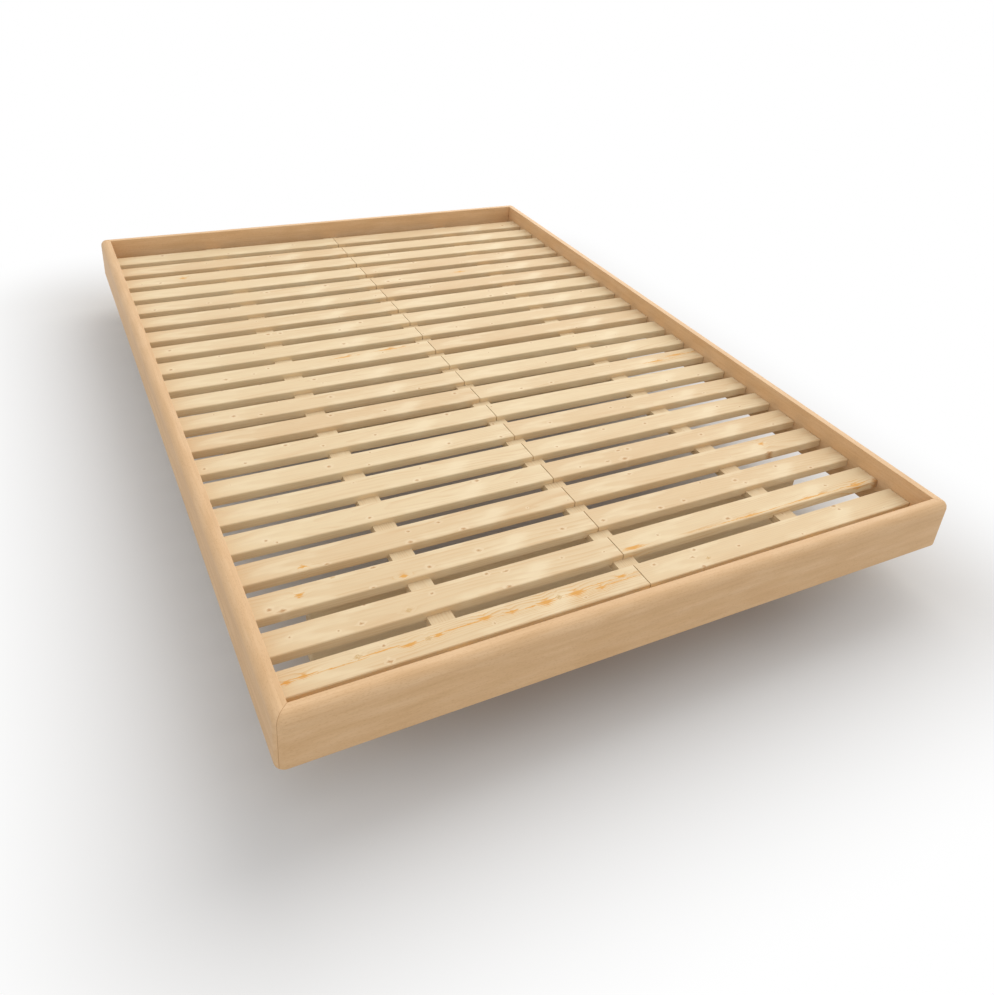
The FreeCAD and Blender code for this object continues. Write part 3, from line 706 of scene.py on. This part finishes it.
def screw_tree():
    """Geometry nodes: points in, cross-recess screws on them out."""
    tree = bpy.data.node_groups.new("screws_on_points", "GeometryNodeTree")
    face = tree.interface
    face.new_socket("Geometry", in_out="INPUT", socket_type="NodeSocketGeometry")
    for size in SIZES:
        face.new_socket(size, in_out="INPUT", socket_type="NodeSocketFloat")
    face.new_socket("Material", in_out="INPUT", socket_type="NodeSocketMaterial")
    face.new_socket("Geometry", in_out="OUTPUT", socket_type="NodeSocketGeometry")
    given = add(tree, "NodeGroupInput").outputs
    half = {size: add(tree, "ShaderNodeMath", {0: given[size], 1: 0.5},
                      operation="MULTIPLY") for size in SIZES if "Width" in size}
    head = add(tree, "GeometryNodeMeshCone",
               {"Vertices": SCREW_SIDES, "Radius Top": half["Head Top Width"],
                "Radius Bottom": half["Head Width"], "Depth": given["Head Height"]})
    arm = add(tree, "ShaderNodeMath", {0: given["Recess Width"], 1: RECESS_ARM},
              operation="MULTIPLY")
    deep = add(tree, "ShaderNodeMath", {0: given["Recess Depth"], 1: 2},
               operation="MULTIPLY")
    top = add(tree, "ShaderNodeCombineXYZ", {"Z": given["Head Height"]})
    cutters = []
    for sides in ({"X": given["Recess Width"], "Y": arm}, {"X": arm, "Y": given["Recess Width"]}):
        size = add(tree, "ShaderNodeCombineXYZ", {**sides, "Z": deep})
        block = add(tree, "GeometryNodeMeshCube", {"Size": size})
        cutters.append(add(tree, "GeometryNodeTransform", {"Geometry": block,
                                                           "Translation": top}))
    cut = add(tree, "GeometryNodeMeshBoolean", {0: head}, operation="DIFFERENCE")
    for cutter in cutters:
        tree.links.new(cutter.outputs[0], cut.inputs[1])
    shank = add(tree, "GeometryNodeMeshCone",
                {"Vertices": SCREW_SIDES, "Radius Top": half["Shank Width"],
                 "Radius Bottom": SCREW_TIP, "Depth": given["Shank Length"]})
    down = add(tree, "ShaderNodeMath", {0: given["Shank Length"], 1: SHANK_BELOW_HEAD},
               operation="MULTIPLY")
    under = add(tree, "ShaderNodeCombineXYZ", {"Z": down})
    lowered = add(tree, "GeometryNodeTransform", {"Geometry": shank, "Translation": under})
    screw = add(tree, "GeometryNodeJoinGeometry", {0: cut})
    tree.links.new(lowered.outputs[0], screw.inputs[0])
    facing = add(tree, "GeometryNodeInputNamedAttribute", {"Name": "facing"},
                 data_type="FLOAT_VECTOR")
    stand = add(tree, "FunctionNodeAlignRotationToVector", {"Vector": facing}, axis="Z")
    twist = add(tree, "FunctionNodeRandomValue", {"Min": 0.0, "Max": math.pi,
                                                  "Seed": TWIST_SEED})
    turn = add(tree, "ShaderNodeCombineXYZ", {"Z": twist})
    twisted = add(tree, "FunctionNodeRotateRotation", {0: stand, 1: turn},
                  rotation_space="LOCAL")
    spread = add(tree, "GeometryNodeInstanceOnPoints",
                 {"Points": given["Geometry"], "Instance": screw, "Rotation": twisted})
    real = add(tree, "GeometryNodeRealizeInstances", {0: spread})
    finished = add(tree, "GeometryNodeSetMaterial", {"Geometry": real,
                                                     "Material": given["Material"]})
    add(tree, "NodeGroupOutput", {0: finished})
    return tree


SCREW_TREE = screw_tree()


def screws(name, places, sizes, material):
    """One mesh with a screw at each place: pairs of a point and the way its head faces."""
    cloud = bpy.data.meshes.new(name + "_points")
    cloud.from_pydata([point for point, _ in places], [], [])
    facing = cloud.attributes.new("facing", "FLOAT_VECTOR", "POINT")
    for index, (_, direction) in enumerate(places):
        facing.data[index].vector = direction
    maker = bpy.data.objects.new(name + "_maker", cloud)
    bpy.context.scene.collection.objects.link(maker)
    modifier = maker.modifiers.new("screws", "NODES")
    modifier.node_group = SCREW_TREE
    sockets = {item.name: item.identifier for item in SCREW_TREE.interface.items_tree
               if item.in_out == "INPUT"}
    for size, value in zip(SIZES, sizes):
        modifier[sockets[size]] = value * MM
    modifier[sockets["Material"]] = material
    ready = maker.evaluated_get(bpy.context.evaluated_depsgraph_get())
    mesh = bpy.data.meshes.new_from_object(ready)
    bpy.data.objects.remove(maker)
    mesh.name = name
    piece = bpy.data.objects.new(name, mesh)
    bpy.context.scene.collection.objects.link(piece)
    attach(piece, "root")
    print(name, len(places), "screws,", len(mesh.polygons), "faces")
    return piece


# %% [markdown]
# The places follow from the frame. Hanger screws sit in the ears' holes on the end rails,
# bracket screws in the brackets' two legs, and a slat's screws where it crosses a bearer,
# moved along the bearer where the middle base board is in the way. The other two base boards
# reach under slats too, but not as far as the screws in the slats' middles.

# %% Screws of the hangers, the brackets and the slats
SHEET = 2 * MM
EAR_HOLE_SIDE = 37.75 * MM
EAR_HOLE_RISE = 9.5 * MM
LEG_HOLE = 24 * MM
PAN_HEAD = (8.2, 5.4, 2.2, 4.4, 16, 4.2, 1.4)
FLUSH_HEAD = (8.0, 8.0, 0.4, 4.2, 24, 4.2, 0.35)
bearers = ("left_bearer", "centre_bearer", "right_bearer")
bearer_middles = {name: (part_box(name)[0].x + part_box(name)[1].x) / 2 for name in bearers}
under_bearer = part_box("centre_bearer")[0].z

hanger_places = []
ear_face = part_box("bearer_hangers")[1].y - SHEET
for middle in bearer_middles.values():
    for side in (-1, 1):
        for end in (-1, 1):
            hanger_places.append(((middle + side * EAR_HOLE_SIDE, end * ear_face,
                                   under_bearer + EAR_HOLE_RISE), (0, -end, 0)))
screws("hanger_screws", hanger_places, PAN_HEAD, zinc_bolt)

bracket_places = []
for board, way in (("foot_base_board", 1), ("head_base_board", -1)):
    low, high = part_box(board)
    face = high.y if way > 0 else low.y
    for middle in (bearer_middles["left_bearer"], bearer_middles["right_bearer"]):
        bracket_places.append(
            ((middle, face + way * SHEET, under_bearer - LEG_HOLE), (0, way, 0)))
        bracket_places.append(
            ((middle, face + way * LEG_HOLE, under_bearer - SHEET), (0, 0, -1)))
screws("bracket_screws", bracket_places, PAN_HEAD, zinc_bolt)

SLAT_END_SIDE = 12 * MM
PAST_BOARD = 22 * MM
slat_places = []
for name in slats:
    low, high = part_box(name)
    middle = (low.y + high.y) / 2
    if abs(middle) < PAST_BOARD:
        middle += PAST_BOARD
    on_left = high.x < 0
    outer = bearer_middles["left_bearer" if on_left else "right_bearer"]
    for x in (-SLAT_END_SIDE if on_left else SLAT_END_SIDE, outer):
        slat_places.append(((x, middle, under_bearer), (0, 0, -1)))
screws("slat_screws", slat_places, FLUSH_HEAD, zinc_bolt)

# %% [markdown]
# ## The studio: a pale floor and soft light
#
# The bed stands on a plain pale floor that runs into a white surround. Close to the bed the
# floor is ordinary matt paint, so that it takes the bed's soft shadow. Farther out it fades
# to pure white. In the photograph the shadow under the bed is deeper and browner than this
# light leaves it, so a painted shadow is added there: a darker paint, which comes in gently
# from the bed's ends and sides. Only the camera and glossy reflections see the white and the
# painted shadow, so the diffuse light on the wood stays as it is. One very large lamp stands
# high behind the bed on the right, and the white surround fills the shadows.

# %% Floor
# The fades are in metres from the bed's outline: below zero is under the bed.
FLOOR_HALF = 30.0
FADE_START = -0.05
FADE_END = 0.52
FLOOR_PAINT = "#CECDCA"
# The darker paint under the bed is a painted shadow, seen by the camera only.
PAINTED_SHADOW_PAINT = "#9E948B"
PAINTED_SHADOW_SIDES = (0.0, -0.5)
PAINTED_SHADOW_ENDS = (0.12, -0.12)

floor_mesh = bpy.data.meshes.new("studio_floor")
floor_mesh.from_pydata(
    [(x * FLOOR_HALF, y * FLOOR_HALF, 0) for x, y in ((-1, -1), (1, -1), (1, 1), (-1, 1))],
    [], [(0, 1, 2, 3)])
floor = bpy.data.objects.new("studio_floor", floor_mesh)
bpy.context.scene.collection.objects.link(floor)


def seen_by_camera(tree):
    """1 for rays from the camera, off glossy surfaces and through glass, else 0."""
    rays = add(tree, "ShaderNodeLightPath").outputs
    direct = add(tree, "ShaderNodeMath", {0: rays["Is Camera Ray"], 1: rays["Is Glossy Ray"]},
                 operation="MAXIMUM")
    return add(tree, "ShaderNodeMath", {0: direct, 1: rays["Is Transmission Ray"]},
               operation="MAXIMUM")


def matt_floor(half_width, half_length):
    """Matt paint near the bed, a painted shadow beneath it, fading to white away from it."""
    material, tree, shader = new_material("matt_white_floor")
    shader.inputs["Roughness"].default_value = 0.9
    shader.inputs["Specular IOR Level"].default_value = 0.1
    spot = add(tree, "ShaderNodeTexCoord").outputs["Object"]
    folded = add(tree, "ShaderNodeVectorMath", {0: spot}, operation="ABSOLUTE")
    past = add(tree, "ShaderNodeVectorMath", {0: folded, 1: (half_width, half_length, 0)},
               operation="SUBTRACT")
    sides = add(tree, "ShaderNodeSeparateXYZ", {0: past})
    # Painted shadow: the darker paint under the bed, for camera rays only.
    painted_shadow = seen_by_camera(tree)
    for axis, (start, full) in (("X", PAINTED_SHADOW_SIDES), ("Y", PAINTED_SHADOW_ENDS)):
        beneath = add(tree, "ShaderNodeMapRange",
                      {"Value": sides.outputs[axis], "From Min": start, "From Max": full},
                      interpolation_type="SMOOTHSTEP")
        painted_shadow = add(tree, "ShaderNodeMath", {0: painted_shadow, 1: beneath}, operation="MULTIPLY")
    paint = add(tree, "ShaderNodeMix", {"Factor": painted_shadow, "A": FLOOR_PAINT, "B": PAINTED_SHADOW_PAINT},
                data_type="RGBA")
    tree.links.new(paint.outputs[2], shader.inputs["Base Color"])
    outside = add(tree, "ShaderNodeVectorMath", {0: past, 1: (0, 0, 0)}, operation="MAXIMUM")
    away = add(tree, "ShaderNodeVectorMath", {0: outside}, operation="LENGTH")
    fade = add(tree, "ShaderNodeMapRange",
               {"Value": away, "From Min": FADE_START, "From Max": FADE_END},
               interpolation_type="SMOOTHSTEP")
    amount = add(tree, "ShaderNodeMath", {0: fade, 1: seen_by_camera(tree)},
                 operation="MULTIPLY")
    white = add(tree, "ShaderNodeEmission", {"Color": "#FFFFFF", "Strength": 1.0})
    mixed = add(tree, "ShaderNodeMixShader", {0: amount, 1: shader, 2: white})
    tree.links.new(mixed.outputs[0], tree.nodes["Material Output"].inputs["Surface"])
    return material


floor_mesh.materials.append(matt_floor(cad_box[1][0], cad_box[1][1]))
print("floor fades to white between %.2f and %.2f m from the bed" % (FADE_START, FADE_END))

# %% World and lamp
FILL_COLOUR = "#FCFCFF"
FILL = 0.93
LAMP_COLOUR = "#FFFAF4"
LAMP_SIZE = 14.0
LAMP_POWER = 950.0
LAMP_PLACE = Vector((7.2, 7.2, 7.2))

world = bpy.data.worlds.new("white_surround")
bpy.context.scene.world = world
world.use_nodes = True
world_tree = world.node_tree
fill = world_tree.nodes["Background"]
fill.inputs["Color"].default_value = linear(FILL_COLOUR)
fill.inputs["Strength"].default_value = FILL
backdrop = add(world_tree, "ShaderNodeBackground", {"Color": "#FFFFFF", "Strength": 1.0})
surround = add(world_tree, "ShaderNodeMixShader",
               {0: seen_by_camera(world_tree), 1: fill, 2: backdrop})
world_tree.links.new(surround.outputs[0], world_tree.nodes["World Output"].inputs["Surface"])

lamp_data = bpy.data.lights.new("studio_lamp", "AREA")
lamp_data.shape = "DISK"
lamp_data.size = LAMP_SIZE
lamp_data.energy = LAMP_POWER
lamp_data.color = linear(LAMP_COLOUR)[:3]
lamp = bpy.data.objects.new("studio_lamp", lamp_data)
lamp.location = LAMP_PLACE
lamp.rotation_euler = (-LAMP_PLACE).to_track_quat("-Z", "Y").to_euler()
bpy.context.scene.collection.objects.link(lamp)
bpy.context.scene.view_settings.view_transform = "Standard"
print("lamp %.0f W, surround strength %.2f" % (LAMP_POWER, FILL))

# %% [markdown]
# ## The camera
#
# The photograph looks down on the bed from beyond its near left corner, with a moderately
# wide lens held slightly askew. The place and the lens were worked out from the straight
# edges of the rim, and a small shift stands for the crop.

# %% Camera
SENSOR_WIDTH = 36.0
FOCAL_LENGTH = 33.3625
SHIFT = (-0.0145, -0.1128)
CAMERA_PLACE = (-0.94351, -1.98809, 1.34077)
CAMERA_TURN = (60.9931, -4.6417, -27.5472)

camera_data = bpy.data.cameras.new("camera")
camera_data.sensor_width = SENSOR_WIDTH
camera_data.lens = FOCAL_LENGTH
camera_data.shift_x, camera_data.shift_y = SHIFT
camera = bpy.data.objects.new("camera", camera_data)
camera.location = CAMERA_PLACE
camera.rotation_euler = [math.radians(angle) for angle in CAMERA_TURN]
bpy.context.scene.collection.objects.link(camera)
bpy.context.scene.camera = camera
print("camera %.2f m from the bed's middle" % camera.location.length)
